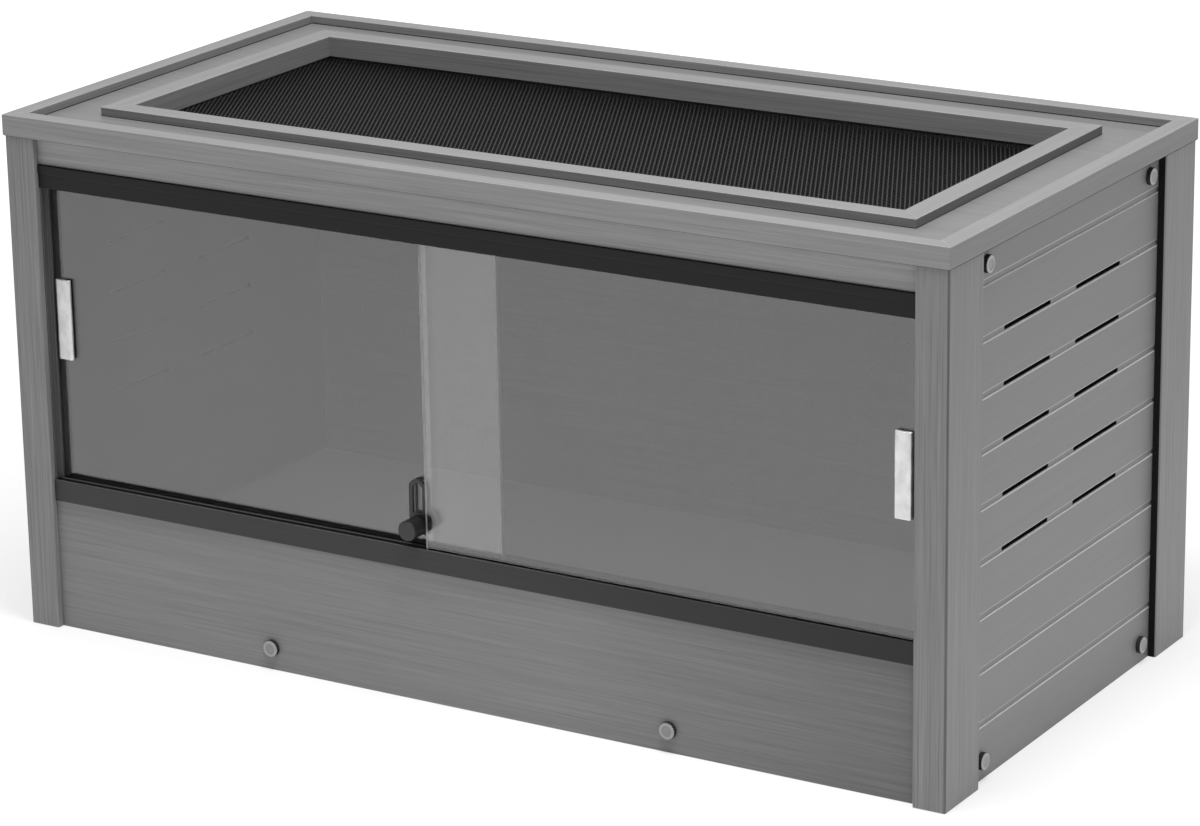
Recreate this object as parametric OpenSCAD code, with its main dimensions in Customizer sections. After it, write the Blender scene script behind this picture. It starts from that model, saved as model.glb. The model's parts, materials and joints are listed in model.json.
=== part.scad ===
// Terrarium cabinet with two sliding glass doors and a lift-off screen lid.
// X runs to the right, Y to the back and Z up. The origin is on the floor, under the middle
// of the cabinet. All sizes are in millimetres.

/* [Cabinet] */
// Width over the cap
cabinet_w = 1000; // [800:1:1300]
// Depth over the cap
cabinet_d = 505; // [430:1:700]
// Height from the floor to the top of the cap
cabinet_h = 510; // [440:1:650]
// Free play of a board in its groove or between its neighbours
board_gap = 0.3; // [0.1:0.1:0.6]

/* [Corner posts] */
// Width of a post, seen from the front
post_w = 32.5; // [28:0.5:45]
// Depth of the solid part of a post, seen from the side
post_d = 40; // [36:0.5:55]
// Length of the lip that covers the edge of a side panel
lip_l = 25.5; // [12:0.5:40]
// Distance of all boards behind the faces of the posts
setback = 8; // [5:0.5:12]
// Radius of the visible edges of a post
post_r = 2; // [1:0.5:4]
// Depth of the grooves that take the ends of the front and back boards
post_groove_d = 8; // [5:0.5:12]

/* [Boards] */
// Thickness of the side panels
side_t = 11; // [9:0.5:16]
// Thickness of the front and back boards
front_t = 12; // [9:0.5:16]
// Thickness of the floor panel
floor_t = 12; // [8:0.5:16]
// Height of the upper face of the floor panel
floor_z = 45; // [40:1:90]
// Width of the bearers under the floor
bearer_w = 25; // [20:1:40]
// Width of the cleats under the top panel
cleat_w = 22; // [18:1:35]
// Height of the cleats under the top panel
cleat_h = 31; // [26:1:40]

/* [Grooves and vents of the side panels] */
// Distance from groove to groove
bead_pitch = 50.5; // [40:0.5:60]
// Height of the lowest groove
bead_z = 52.6; // [40:0.1:60]
// Width of a groove
bead_w = 5; // [4:0.5:8]
// Depth of a groove
bead_d = 1.2; // [0.6:0.1:3]
// Length of a vent slot
vent_l = 92; // [50:1:110]
// Height of a vent slot
vent_h = 3.8; // [2:0.1:4]
// Distance between the two slots of a row
vent_gap = 51.5; // [30:0.5:70]
// Distance of the middle of a row in front of the middle of the cabinet
vent_shift = 9.8; // [0:0.1:25]
// Number of the groove that holds the lowest row of slots, counted from 0
vent_first = 3; // [1:1:4]
// Number of the rows of slots
vent_rows = 5; // [2:1:5]

/* [Cap and top panel] */
// Overhang of the cap past the posts
cap_overhang = 1.5; // [0.5:0.5:4]
// Height of the cap
cap_h = 20.5; // [16:0.5:30]
// Width of the rim of the cap, seen from above
rim_w = 18; // [14:0.5:26]
// Height of the rim above the top panel
rim_rise = 8.5; // [4:0.5:10]
// Thickness of the wall of the cap beside the top panel
cap_wall = 9; // [6:0.5:12]

/* [Screen lid] */
// Distance from the rim of the cap to the lid
lid_margin = 48.5; // [30:0.5:70]
// Width of the face of the lid frame
lid_face = 23; // [20:0.5:32]
// Lap of the lid frame on the top panel
lid_lap = 12; // [8:0.5:14]
// Clearance of the skirt of the lid in the opening
lid_gap = 1.5; // [0.8:0.1:2.5]
// Depth of the screen below the top of the lid frame
screen_drop = 21.5; // [18:0.5:26]
// Thickness of the screen
screen_t = 0.8; // [0.6:0.1:1.5]
// Distance of the edge of the screen inside the skirt
screen_inset = 1; // [0.5:0.1:2]
// Height of the strips that hold the screen
strip_h = 4; // [2.5:0.5:6]

/* [Front boards and tracks] */
// Height of the upper face of the bottom track
sill_z = 151; // [120:1:200]
// Height of the face of the bottom track
sill_face_h = 21.5; // [14:0.5:30]
// Height of the upper front rail
rail_h = 26.5; // [20:0.5:40]
// Height of the top track
head_h = 22; // [21:0.5:30]
// Distance of the faces of the tracks in front of the boards
track_proud = 3; // [1:0.5:4.5]
// Height of the upper band on the face of the top track
head_band_h = 8; // [4:0.5:12]
// Depth of the step below that band
head_step = 0.8; // [0.3:0.1:1.2]
// Thickness of the front wall of a track
track_lip = 2; // [1.5:0.1:3]
// Thickness of the rib between the two grooves of a track
track_rib = 3; // [2.5:0.1:5]
// Width of the part of a track behind its grooves
track_land = 11; // [6:0.5:14]
// Depth of the grooves of the bottom track
sill_groove_d = 8; // [5:0.5:12]
// Depth of the grooves of the top track
head_groove_d = 18; // [17:0.5:19]
// Thickness of the bottom track under its grooves
sill_base = 2; // [1.5:0.1:4]
// Thickness of a jamb against its post
jamb_web = 1.5; // [1:0.1:3]
// Height of the ribs of a jamb over its web
jamb_rib = 3.5; // [2:0.1:5]
// Height of the rail behind the lower board, which carries the track
sill_rail_h = 30; // [20:1:45]

/* [Glass doors] */
// Thickness of a glass pane
pane_t = 4; // [3:0.5:6]
// Play of a pane on each side in its groove
pane_play = 1; // [0.6:0.1:1.5]
// Clearance of a pane at the bottom of its groove and at its jamb
pane_gap = 0.3; // [0.1:0.1:0.8]
// Depth of a pane in the top track
pane_in_head = 9; // [6:0.5:9.5]
// Overlap of the two doors when they are closed
door_overlap = 78; // [40:1:120]

/* [Door handles] */
// Width of a handle
handle_w = 17.2; // [12:0.2:24]
// Height of a handle
handle_h = 79; // [60:1:110]
// Radius of the front edges of a handle
handle_r = 1.6; // [0.6:0.1:2]
// Distance of a handle from the jamb
handle_x_gap = 2.4; // [1:0.1:20]
// Height of the middle of the left handle
handle_left_z = 311; // [260:1:340]
// Height of the middle of the right handle
handle_right_z = 301; // [260:1:340]
// Thickness of the tape behind a handle
tape_t = 1.2; // [0.8:0.1:1.6]
// Distance of the edge of the tape inside the handle
tape_inset = 1; // [0.5:0.1:2]
// Clearance between the left handle and the right pane that passes it
handle_clear = 0.6; // [0.4:0.1:1]

/* [Door lock] */
// Distance of the axis of the lock outside the edge of the right pane
lock_out = 11.2; // [11:0.1:16]
// Height of the axis of the lock above the bottom track
lock_up = 19.5; // [13:0.5:60]
// Diameter of the knob
knob_dia = 19; // [16:0.5:21]
// Length of the knob
knob_l = 18.2; // [14:0.2:26]
// Chamfer at the front of the knob
knob_chamfer = 0.8; // [0.3:0.1:1.5]
// Length of solid knob in front of the bore
knob_end = 4; // [3:0.5:8]
// Diameter of the lock screw
lock_screw_dia = 5; // [4:0.5:6]
// Play of the lock screw in the knob and in the plate, on the radius
lock_screw_play = 0.05; // [0.02:0.01:0.1]
// Clearance between the tip of the lock screw and the left pane
lock_tip_gap = 0.3; // [0.2:0.1:0.6]
// Thickness of the washer of the lock
washer_t = 1; // [0.6:0.1:2]
// Distance of the edge of the washer inside the knob
washer_inset = 1; // [0.5:0.1:2]
// Clearance between the washer and the plate, and between the washer and the knob
washer_gap = 0.2; // [0.1:0.1:0.4]
// Thickness of the looped plate of the lock
loop_t = 2.6; // [2:0.1:3]
// Width of the looped plate
loop_w = 18.8; // [16:0.2:21]
// Width of a leg of the loop
loop_leg = 4.2; // [3:0.1:5]
// Height of the loop above the axis of the lock
loop_up = 44.5; // [35:0.5:60]
// Length of the plate below the axis of the lock
loop_down = 8.5; // [7:0.5:11]
// Height of the solid part of the plate above the axis of the lock
loop_solid = 12; // [9:0.5:16]
// Clearance between the plate and the right pane
loop_gap = 0.3; // [0.2:0.1:0.5]
// Lap of the tongue of the plate behind the right pane
tongue_lap = 3; // [2:0.5:6]
// Height of the tongue
tongue_h = 14; // [8:0.5:16]

/* [Thumb screws] */
// Diameter of the head of a thumb screw
thumb_dia = 16.4; // [12:0.2:20]
// Thickness of the head of a thumb screw
thumb_t = 4.5; // [3:0.1:7]
// Number of the scallops around the head
thumb_lobes = 14; // [10:1:18]
// Depth of a scallop
thumb_cut = 0.8; // [0.4:0.1:1.2]
// Diameter of the shank
shank_dia = 6; // [4:0.5:6.5]
// Play of the shank in a board, on the radius
shank_play = 0.3; // [0.2:0.1:0.5]
// Diameter of an insert nut
insert_dia = 9; // [8:0.5:11]
// Length of an insert nut
insert_l = 14; // [10:1:17]
// Play of the shank in an insert nut and of the nut in its hole, on the radius
insert_play = 0.05; // [0.02:0.01:0.1]
// Distance of the side screws from the posts
side_screw_in = 19.5; // [14:0.5:40]
// Height of the lower side screws
side_screw_z = 18.5; // [12:0.5:22]
// Distance of the upper screws below the cap
top_screw_down = 16; // [12:0.5:20]
// Distance of the front and back screws from the middle
front_screw_x = 217; // [120:1:300]
// Height of the lower front and back screws
front_screw_z = 22; // [12:0.5:23]

/* [Hidden] */
// Length by which a cutting shape passes a face
past = 1;
// Facets of a full circle
$fn = 48;

// Outer faces of the posts, and inner faces of their solid part
post_x = cabinet_w / 2 - cap_overhang;
post_y = cabinet_d / 2 - cap_overhang;
post_in_x = post_x - post_w;
post_in_y = post_y - post_d;

// Faces of the side panels, and of the front and back boards
side_out = post_x - setback;
side_in = side_out - side_t;
front_out = post_y - setback;
front_in = front_out - front_t;

// Heights of the cap's underside, the top panel's face and the top of the boards
cap_z = cabinet_h - cap_h;
deck_z = cabinet_h - rim_rise;

// Half sizes of the lid, of the opening under it and of its skirt
lid_x = cabinet_w / 2 - rim_w - lid_margin;
lid_y = cabinet_d / 2 - rim_w - lid_margin;
lid_hole_x = lid_x - lid_lap;
lid_hole_y = lid_y - lid_lap;
skirt_x = lid_hole_x - lid_gap;
skirt_y = lid_hole_y - lid_gap;
skirt_w = lid_face - lid_lap - lid_gap;
screen_z = cabinet_h - screen_drop;

// Grooves of the tracks, counted backwards from the face of the tracks
groove_w = pane_t + 2 * pane_play;
track_out = front_out + track_proud;
groove_1 = track_out - track_lip;
groove_2 = groove_1 - groove_w - track_rib;
track_in = groove_2 - groove_w - track_land;
sill_seat = sill_z - sill_groove_d - sill_base;
head_top = cap_z - rail_h;
head_z = head_top - head_h;

// Glass panes: distance of their outer faces from the middle, their ends and heights
pane_right_out = groove_1 - pane_play;
pane_left_out = groove_2 - pane_play;
panes_apart = pane_right_out - pane_t - pane_left_out;
pane_end = post_in_x - jamb_web - pane_gap;
pane_low = sill_z - sill_groove_d + pane_gap;
pane_high = head_z + pane_in_head;

// Handles: thickness, and distance of their middle from the cabinet's middle
handle_t = panes_apart - tape_t - handle_clear;
handle_left_x = post_in_x - jamb_web - jamb_rib - handle_x_gap - handle_w / 2;
handle_right_x = handle_left_x + jamb_rib;

// Lock: place of its axis, and of the faces of its pieces
lock_x = -door_overlap / 2 - lock_out;
lock_z = sill_z + lock_up;
loop_out = pane_right_out - pane_t - loop_gap;
washer_in = loop_out + washer_gap;
knob_in = washer_in + washer_t + washer_gap;
knob_out = knob_in + knob_l;
lock_screw_in = pane_left_out + lock_tip_gap;
lock_screw_out = knob_out - knob_end;

// Places of the thumb screws
side_screw_y = post_in_y - lip_l - side_screw_in;
top_screw_z = cap_z - top_screw_down;
side_screws = [for (y = [-side_screw_y, side_screw_y], z = [side_screw_z, top_screw_z]) [y, z]];
front_screws = [for (x = [-front_screw_x, front_screw_x]) [x, front_screw_z]];
back_screws = [for (x = [-front_screw_x, front_screw_x], z = [front_screw_z, top_screw_z]) [x, z]];

// Vent slots: place of the middle of each slot of a row
vent_middles = [for (side = [-1, 1]) -vent_shift + side * (vent_l + vent_gap) / 2];

// Number of the grooves that fit on a side panel
bead_count = floor((cap_z - bead_z - bead_w) / bead_pitch) + 1;

// Colours
grey_wood = [0.50, 0.50, 0.50];
pale_wood = [0.62, 0.62, 0.62];
black_plastic = [0.17, 0.17, 0.17];
black_mesh = [0.10, 0.10, 0.10];
clear_glass = [0.80, 0.84, 0.84, 0.35];
satin_metal = [0.82, 0.82, 0.82];
screw_grey = [0.62, 0.62, 0.62];
brass = [0.72, 0.60, 0.32];

// A straight block between two opposite corners
module block(low, high) translate(low) cube(high - low);

// The same, centred on x = 0
module wide_block(half, y0, y1, z0, z1) block([-half, y0, z0], [half, y1, z1]);

// The same, centred on x = 0 and y = 0
module middle_block(half_x, half_y, z0, z1) block([-half_x, -half_y, z0], [half_x, half_y, z1]);

// Draws its children on the left as they are drawn on the right
module on_side(side) mirror([side < 0 ? 1 : 0, 0, 0]) children();

// Draws its children at the front as they are drawn at the back
module on_end(end) mirror([0, end < 0 ? 1 : 0, 0]) children();

// Waste that is cut from an outside corner at [0, 0] to round it, towards -X and -Y
module corner_waste(r) translate([-r, -r]) difference() {
    square(r + past);
    circle(r);
}

// One side of a mitred frame: half sizes, width of the side, and heights
module mitred_x(half_x, half_y, w, z0, z1) translate([0, 0, z0]) linear_extrude(z1 - z0)
    polygon([[half_x, -half_y], [half_x, half_y], [half_x - w, half_y - w], [half_x - w, w - half_y]]);
module mitred_y(half_x, half_y, w, z0, z1) translate([0, 0, z0]) linear_extrude(z1 - z0)
    polygon([[-half_x, half_y], [half_x, half_y], [half_x - w, half_y - w], [w - half_x, half_y - w]]);

// Turns a shape that points up so that it points out of a side, the front or the back
module out_of_side(side, y, z, x) translate([side * x, y, z]) rotate([0, side * 90, 0]) children();
module out_of_front(x, z, y) translate([x, -y, z]) rotate([90, 0, 0]) children();
module out_of_back(x, z, y) translate([x, y, z]) rotate([-90, 0, 0]) children();

// Front post, drawn at the back: a grooved block, and a lip over the edge of the side panel
module front_post() linear_extrude(cap_z) difference() {
    union() {
        translate([post_in_x, post_in_y]) square([post_w, post_d]);
        translate([side_out, post_in_y - lip_l]) square([setback, lip_l]);
    }
    translate([post_in_x - past, front_in - board_gap])
        square([post_groove_d + past, front_t + 2 * board_gap]);
    post_edge_waste();
}

// Rear post: an angle over the edges of the side and back panels
module rear_post() linear_extrude(cap_z) difference() {
    translate([post_in_x, post_in_y - lip_l]) square([post_w, post_d + lip_l]);
    translate([post_in_x - past, post_in_y - lip_l - past])
        square([side_out - post_in_x + past, front_out - post_in_y + lip_l + past]);
    post_edge_waste();
}

// Waste that rounds the three visible edges of a post
module post_edge_waste() {
    translate([post_x, post_y]) corner_waste(post_r);
    translate([post_in_x, post_y]) mirror([1, 0]) corner_waste(post_r);
    translate([post_x, post_in_y - lip_l]) mirror([0, 1]) corner_waste(post_r);
}

module post_front_left() color(grey_wood) on_side(-1) on_end(-1) front_post();
module post_front_right() color(grey_wood) on_end(-1) front_post();
module post_rear_left() color(grey_wood) on_side(-1) rear_post();
module post_rear_right() color(grey_wood) rear_post();

// Cap: a mitred frame whose rim stands over the edge of the top panel
module cap_x() {
    mitred_x(cabinet_w / 2, cabinet_d / 2, rim_w, deck_z, cabinet_h);
    mitred_x(cabinet_w / 2, cabinet_d / 2, cap_wall, cap_z, deck_z);
}
module cap_y() {
    mitred_y(cabinet_w / 2, cabinet_d / 2, rim_w, deck_z, cabinet_h);
    mitred_y(cabinet_w / 2, cabinet_d / 2, cap_wall, cap_z, deck_z);
}

module cap_front() color(pale_wood) on_end(-1) cap_y();
module cap_back() color(pale_wood) cap_y();
module cap_left() color(pale_wood) on_side(-1) cap_x();
module cap_right() color(pale_wood) cap_x();

// Top panel, with the opening for the lid
module top_panel() color(pale_wood) difference() {
    middle_block(cabinet_w / 2 - cap_wall - board_gap, cabinet_d / 2 - cap_wall - board_gap, cap_z, deck_z);
    middle_block(lid_hole_x, lid_hole_y, cap_z - past, deck_z + past);
}

// Lid frame: a face that laps the top panel, and a skirt that drops into the opening
module lid_x_side() {
    mitred_x(lid_x, lid_y, lid_face, deck_z, cabinet_h);
    mitred_x(skirt_x, skirt_y, skirt_w, screen_z, deck_z);
}
module lid_y_side() {
    mitred_y(lid_x, lid_y, lid_face, deck_z, cabinet_h);
    mitred_y(skirt_x, skirt_y, skirt_w, screen_z, deck_z);
}

module lid_front() color(pale_wood) on_end(-1) lid_y_side();
module lid_back() color(pale_wood) lid_y_side();
module lid_left() color(pale_wood) on_side(-1) lid_x_side();
module lid_right() color(pale_wood) lid_x_side();

// Screen: a fine net, drawn as a plain sheet, under the skirt
module screen() color(black_mesh)
    middle_block(skirt_x - screen_inset, skirt_y - screen_inset, screen_z - screen_t, screen_z);

// Four strips that hold the screen against the skirt
module screen_strips() color(grey_wood) {
    strip_top = screen_z - screen_t;
    for (end = [-1, 1]) on_end(end)
        wide_block(skirt_x, skirt_y - skirt_w, skirt_y, strip_top - strip_h, strip_top);
    strip_end = skirt_y - skirt_w - board_gap;
    for (side = [-1, 1]) on_side(side)
        block([skirt_x - skirt_w, -strip_end, strip_top - strip_h], [skirt_x, strip_end, strip_top]);
}

// Upper front rail, with a tongue at each end for the grooves of the posts
module upper_rail() color(grey_wood) {
    wide_block(post_in_x, -front_out, -track_in, head_top, cap_z);
    wide_block(post_in_x + post_groove_d - board_gap, -front_out, -front_in, head_top, cap_z);
}

// Lower front board, under the doors
module lower_board() color(grey_wood) difference() {
    wide_block(post_in_x + post_groove_d - board_gap, -front_out, -front_in, 0, sill_seat);
    for (at = front_screws) out_of_front(at[0], at[1], front_out) shank_hole(front_t);
}

// Rail behind the lower board, which carries the back of the bottom track
module sill_rail() color(grey_wood)
    wide_block(post_in_x - board_gap, -front_in, -track_in, sill_seat - sill_rail_h, sill_seat);

// Grooves for the two panes, along the whole length of a track
module track_grooves(z0, z1) for (groove = [groove_1, groove_2])
    wide_block(post_in_x + past, -groove, groove_w - groove, z0, z1);

// Top track, open below, with a stepped face
module top_track() color(black_plastic) difference() {
    wide_block(post_in_x - board_gap, -track_out, -track_in, head_z, head_top);
    track_grooves(head_z - past, head_z + head_groove_d);
    wide_block(post_in_x + past, -track_out - past, head_step - track_out, head_z - past, head_top - head_band_h);
}

// Bottom track, open above, with a face that hangs over the lower board
module bottom_track() color(black_plastic) difference() {
    union() {
        wide_block(post_in_x - board_gap, -track_out, -track_in, sill_seat, sill_z);
        wide_block(post_in_x - board_gap, -track_out, -front_out, sill_z - sill_face_h, sill_z);
    }
    track_grooves(sill_z - sill_groove_d, sill_z + past);
}

// Jamb: a web on the post, a rib between the panes and a step behind them
module jamb() {
    rib_x = post_in_x - jamb_web - jamb_rib;
    block([post_in_x - jamb_web, -groove_1, sill_z], [post_in_x, -track_in, head_z]);
    block([rib_x, groove_w - groove_1, sill_z], [post_in_x, -groove_2, head_z]);
    block([rib_x, groove_w - groove_2, sill_z], [post_in_x, -track_in, head_z]);
}

module jamb_left() color(black_plastic) on_side(-1) jamb();
module jamb_right() color(black_plastic) jamb();

// Glass panes: the left one runs in the rear grooves, the right one in the front grooves
module pane_left() color(clear_glass)
    block([-pane_end, -pane_left_out, pane_low], [door_overlap / 2, pane_t - pane_left_out, pane_high]);
module pane_right() color(clear_glass)
    block([-door_overlap / 2, -pane_right_out, pane_low], [pane_end, pane_t - pane_right_out, pane_high]);

// Stick-on handle at [x, z], with its back at distance y in front of the middle
module handle(x, y, z) translate([x, -y, z - handle_h / 2]) linear_extrude(handle_h) difference() {
    translate([-handle_w / 2, -handle_t]) square([handle_w, handle_t]);
    for (side = [0, 1]) mirror([side, 0]) translate([handle_w / 2, -handle_t])
        mirror([0, 1]) corner_waste(handle_r);
}
module tape(x, y, z) {
    half = [handle_w / 2 - tape_inset, 0, handle_h / 2 - tape_inset];
    block([x, -y - tape_t, z] - half, [x, -y, z] + half);
}

module handle_left() color(satin_metal) handle(-handle_left_x, pane_left_out + tape_t, handle_left_z);
module handle_right() color(satin_metal) handle(handle_right_x, pane_right_out + tape_t, handle_right_z);
module tape_left() color(black_plastic) tape(-handle_left_x, pane_left_out, handle_left_z);
module tape_right() color(black_plastic) tape(handle_right_x, pane_right_out, handle_right_z);

// Outline of the looped plate, narrower by a margin all round
module loop_outline(margin, low) {
    r = loop_w / 2 - margin;
    top = loop_up - margin - r;
    translate([-r, low]) square([2 * r, top - low]);
    translate([0, top]) circle(r);
}

// Looped plate between the panes, with a tongue behind the right pane
module lock_plate() color(black_plastic) translate([lock_x, loop_t - loop_out, lock_z]) rotate([90, 0, 0])
    linear_extrude(loop_t) difference() {
        union() {
            loop_outline(0, -loop_down);
            translate([0, loop_solid - tongue_h]) square([lock_out + tongue_lap, tongue_h]);
        }
        loop_outline(loop_leg, loop_solid);
        circle(lock_screw_dia / 2 + lock_screw_play);
    }

// Screw of the lock, whose tip presses on the left pane
module lock_screw() color(screw_grey) out_of_front(lock_x, lock_z, lock_screw_in)
    cylinder(d = lock_screw_dia, h = lock_screw_out - lock_screw_in);

// Washer behind the knob
module lock_washer() color(black_plastic) out_of_front(lock_x, lock_z, washer_in) difference() {
    cylinder(r = knob_dia / 2 - washer_inset, h = washer_t);
    translate([0, 0, -past]) cylinder(r = lock_screw_dia / 2 + lock_screw_play, h = washer_t + 2 * past);
}

// Knob, with a blind bore for the screw
module lock_knob() color(black_plastic) out_of_front(lock_x, lock_z, knob_in) difference() {
    union() {
        cylinder(d = knob_dia, h = knob_l - knob_chamfer);
        translate([0, 0, knob_l - knob_chamfer])
            cylinder(d1 = knob_dia, d2 = knob_dia - 2 * knob_chamfer, h = knob_chamfer);
    }
    translate([0, 0, -past]) cylinder(r = lock_screw_dia / 2 + lock_screw_play, h = knob_l - knob_end + past);
}

// Side panel, with its grooves, vent slots and screw holes
module side_panel() difference() {
    end = post_in_y - board_gap;
    block([side_in, -end, 0], [side_out, front_out, cap_z]);
    for (i = [0 : bead_count - 1]) {
        z = bead_z + i * bead_pitch;
        block([side_out - bead_d, -end - past, z - bead_w / 2],
            [side_out + past, front_out + past, z + bead_w / 2]);
    }
    for (row = [vent_first : vent_first + vent_rows - 1], y = vent_middles)
        vent_slot(y, bead_z + row * bead_pitch);
    for (at = side_screws) out_of_side(1, at[0], at[1], side_out) shank_hole(side_t);
}

// Vent slot with round ends
module vent_slot(y, z) {
    run = (vent_l - vent_h) / 2;
    block([side_in - past, y - run, z - vent_h / 2], [side_out + past, y + run, z + vent_h / 2]);
    for (end = [-run, run]) translate([side_in - past, y + end, z]) rotate([0, 90, 0])
        cylinder(d = vent_h, h = side_t + 2 * past, $fn = 16);
}

module side_panel_left() color(grey_wood) on_side(-1) side_panel();
module side_panel_right() color(grey_wood) side_panel();

// Back panel, grooved outside like the side panels
module back_panel() color(grey_wood) difference() {
    end = side_in - board_gap;
    wide_block(end, front_in, front_out, 0, cap_z);
    for (i = [0 : bead_count - 1]) {
        z = bead_z + i * bead_pitch;
        wide_block(end + past, front_out - bead_d, front_out + past, z - bead_w / 2, z + bead_w / 2);
    }
    for (at = back_screws) out_of_back(at[0], at[1], front_out) shank_hole(front_t);
}

// Floor panel, cut out round the front posts
module floor_panel() color(grey_wood) {
    wide_block(side_in - board_gap, board_gap - post_in_y, front_in - board_gap, floor_z - floor_t, floor_z);
    middle_block(post_in_x - board_gap, front_in - board_gap, floor_z - floor_t, floor_z);
}

// Bearers under the floor panel
module end_bearer(half, screws) difference() {
    wide_block(half - board_gap, front_in - bearer_w, front_in, 0, floor_z - floor_t);
    for (at = screws) out_of_back(at[0], at[1], front_in) insert_hole();
}
module side_bearer() difference() {
    end = front_in - bearer_w - board_gap;
    block([side_in - bearer_w, -end, 0], [side_in, end, floor_z - floor_t]);
    for (at = side_screws) out_of_side(1, at[0], at[1], side_in) insert_hole();
}

module bearer_front() color(grey_wood) on_end(-1) end_bearer(post_in_x, front_screws);
module bearer_back() color(grey_wood) end_bearer(side_in, back_screws);
module bearer_left() color(grey_wood) on_side(-1) side_bearer();
module bearer_right() color(grey_wood) side_bearer();
module bearer_middle() color(grey_wood)
    middle_block(bearer_w / 2, front_in - bearer_w - board_gap, 0, floor_z - floor_t);

// Cleats under the top panel
module side_cleat() difference() {
    end = post_in_y - board_gap;
    block([side_in - cleat_w, -end, cap_z - cleat_h], [side_in, end, cap_z]);
    for (at = side_screws) out_of_side(1, at[0], at[1], side_in) insert_hole();
}

module cleat_left() color(grey_wood) on_side(-1) side_cleat();
module cleat_right() color(grey_wood) side_cleat();
module cleat_back() color(grey_wood) difference() {
    wide_block(side_in - cleat_w - board_gap, front_in - cleat_w, front_in, cap_z - cleat_h, cap_z);
    for (at = back_screws) out_of_back(at[0], at[1], front_in) insert_hole();
}

// Hole for a thumb screw in a board, from its outer face inwards
module shank_hole(board_t) translate([0, 0, -board_t - past])
    cylinder(r = shank_dia / 2 + shank_play, h = board_t + 2 * past);

// Blind hole for an insert nut, from the face of a bearer or cleat inwards
module insert_hole() translate([0, 0, -insert_l - board_gap])
    cylinder(r = insert_dia / 2 + insert_play, h = insert_l + board_gap + past);

// Thumb screw that points up, with the underside of its head at z = 0
module thumb_screw(board_t) {
    points = 2 * thumb_lobes;
    linear_extrude(thumb_t) polygon([for (i = [0 : points - 1])
        (thumb_dia / 2 - (i % 2) * thumb_cut) * [cos(i * 360 / points), sin(i * 360 / points)]]);
    translate([0, 0, -board_t - insert_l]) cylinder(d = shank_dia, h = board_t + insert_l);
}

module thumb_screws_front() color(screw_grey)
    for (at = front_screws) out_of_front(at[0], at[1], front_out) thumb_screw(front_t);
module thumb_screws_back() color(screw_grey)
    for (at = back_screws) out_of_back(at[0], at[1], front_out) thumb_screw(front_t);
module thumb_screws_left() color(screw_grey)
    for (at = side_screws) out_of_side(-1, at[0], at[1], side_out) thumb_screw(side_t);
module thumb_screws_right() color(screw_grey)
    for (at = side_screws) out_of_side(1, at[0], at[1], side_out) thumb_screw(side_t);

// Insert nuts that take the thumb screws
module insert_nut() translate([0, 0, -insert_l]) difference() {
    cylinder(d = insert_dia, h = insert_l);
    translate([0, 0, -past]) cylinder(r = shank_dia / 2 + insert_play, h = insert_l + 2 * past);
}
module insert_nuts() color(brass) {
    for (at = front_screws) out_of_front(at[0], at[1], front_in) insert_nut();
    for (at = back_screws) out_of_back(at[0], at[1], front_in) insert_nut();
    for (side = [-1, 1], at = side_screws) out_of_side(side, at[0], at[1], side_in) insert_nut();
}

post_front_left();
post_front_right();
post_rear_left();
post_rear_right();
cap_front();
cap_back();
cap_left();
cap_right();
top_panel();
lid_front();
lid_back();
lid_left();
lid_right();
screen();
screen_strips();
upper_rail();
lower_board();
sill_rail();
top_track();
bottom_track();
jamb_left();
jamb_right();
pane_left();
pane_right();
handle_left();
handle_right();
tape_left();
tape_right();
lock_plate();
lock_screw();
lock_washer();
lock_knob();
side_panel_left();
side_panel_right();
back_panel();
floor_panel();
bearer_front();
bearer_back();
bearer_left();
bearer_right();
bearer_middle();
cleat_left();
cleat_right();
cleat_back();
thumb_screws_front();
thumb_screws_back();
thumb_screws_left();
thumb_screws_right();
insert_nuts();
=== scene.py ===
import json
import math

import bmesh
import bpy
from mathutils import Matrix, Vector


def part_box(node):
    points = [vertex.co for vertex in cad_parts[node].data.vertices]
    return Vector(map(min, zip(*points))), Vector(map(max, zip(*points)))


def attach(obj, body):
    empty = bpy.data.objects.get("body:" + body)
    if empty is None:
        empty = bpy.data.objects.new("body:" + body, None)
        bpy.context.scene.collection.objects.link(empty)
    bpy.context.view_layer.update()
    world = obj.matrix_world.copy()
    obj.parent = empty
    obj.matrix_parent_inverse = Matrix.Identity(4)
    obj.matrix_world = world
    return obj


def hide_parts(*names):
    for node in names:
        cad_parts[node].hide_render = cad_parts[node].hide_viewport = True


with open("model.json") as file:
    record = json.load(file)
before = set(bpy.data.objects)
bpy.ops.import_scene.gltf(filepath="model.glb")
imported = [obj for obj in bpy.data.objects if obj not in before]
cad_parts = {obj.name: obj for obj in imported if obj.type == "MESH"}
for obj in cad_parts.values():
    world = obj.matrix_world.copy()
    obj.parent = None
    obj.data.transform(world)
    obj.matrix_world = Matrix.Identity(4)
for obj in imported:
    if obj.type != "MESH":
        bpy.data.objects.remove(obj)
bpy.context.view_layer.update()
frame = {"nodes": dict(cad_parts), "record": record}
mm = 0.001   # sizes in the dictionaries are in millimetres
print("frame loaded")

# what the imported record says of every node
nodeBody = {node: body for body, nodes in frame["record"]["behaviour"]["bodies"].items() for node in nodes}


# selecting and editing

mergeReach = 0.00001   # corners nearer than this are one, in metres
flatTurn = 0.5         # faces that turn by less than this are one, in degrees
bevelOver = 35         # edges that turn by more than this are softened, in degrees
smoothUnder = 50       # edges that turn by less than this are shaded smooth, in degrees
facing = 0.9           # a face looks in a direction when its normal goes this far along it


def deselectAll():
    bpy.ops.object.select_all(action="DESELECT")


def pick(piece):
    deselectAll()
    piece.select_set(True)
    bpy.context.view_layer.objects.active = piece


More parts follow.
